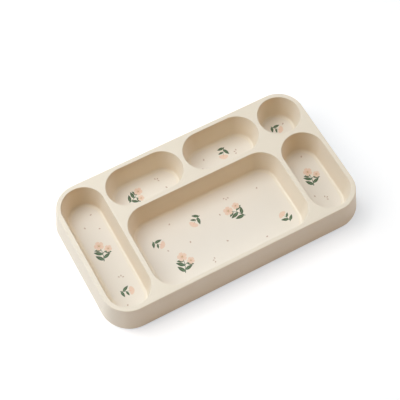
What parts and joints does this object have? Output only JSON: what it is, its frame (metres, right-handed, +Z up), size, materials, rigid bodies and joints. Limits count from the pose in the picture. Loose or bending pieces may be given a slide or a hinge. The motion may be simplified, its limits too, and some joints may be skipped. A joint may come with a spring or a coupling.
{
  "type": "divided plate",
  "caption": "Low soft rectangular tray with rounded corners, divided into deep wells and slots that keep the parts of a meal apart. Each floor holds a thin printed film.",
  "frame": {"origin": "on the resting plane, under the middle of the tray", "axes": "+X along the tray's length, towards the side with the round cup; +Y towards the back row of wells; +Z up, out of the wells"},
  "size_m": [0.3088, 0.1728, 0.035],
  "materials": {
    "soft_cream": "matte cream silicone rubber, moulded",
    "printed_film": "matte cream film with a small printed pattern of blossoms and leaves"
  },
  "bodies": {
    "root": {"tray_body": "soft_cream", "main_floor_film": "printed_film", "long_slot_floor_film": "printed_film", "back_left_floor_film": "printed_film", "back_right_floor_film": "printed_film", "round_cup_floor_film": "printed_film", "short_slot_floor_film": "printed_film"}
  },
  "joints": []
}
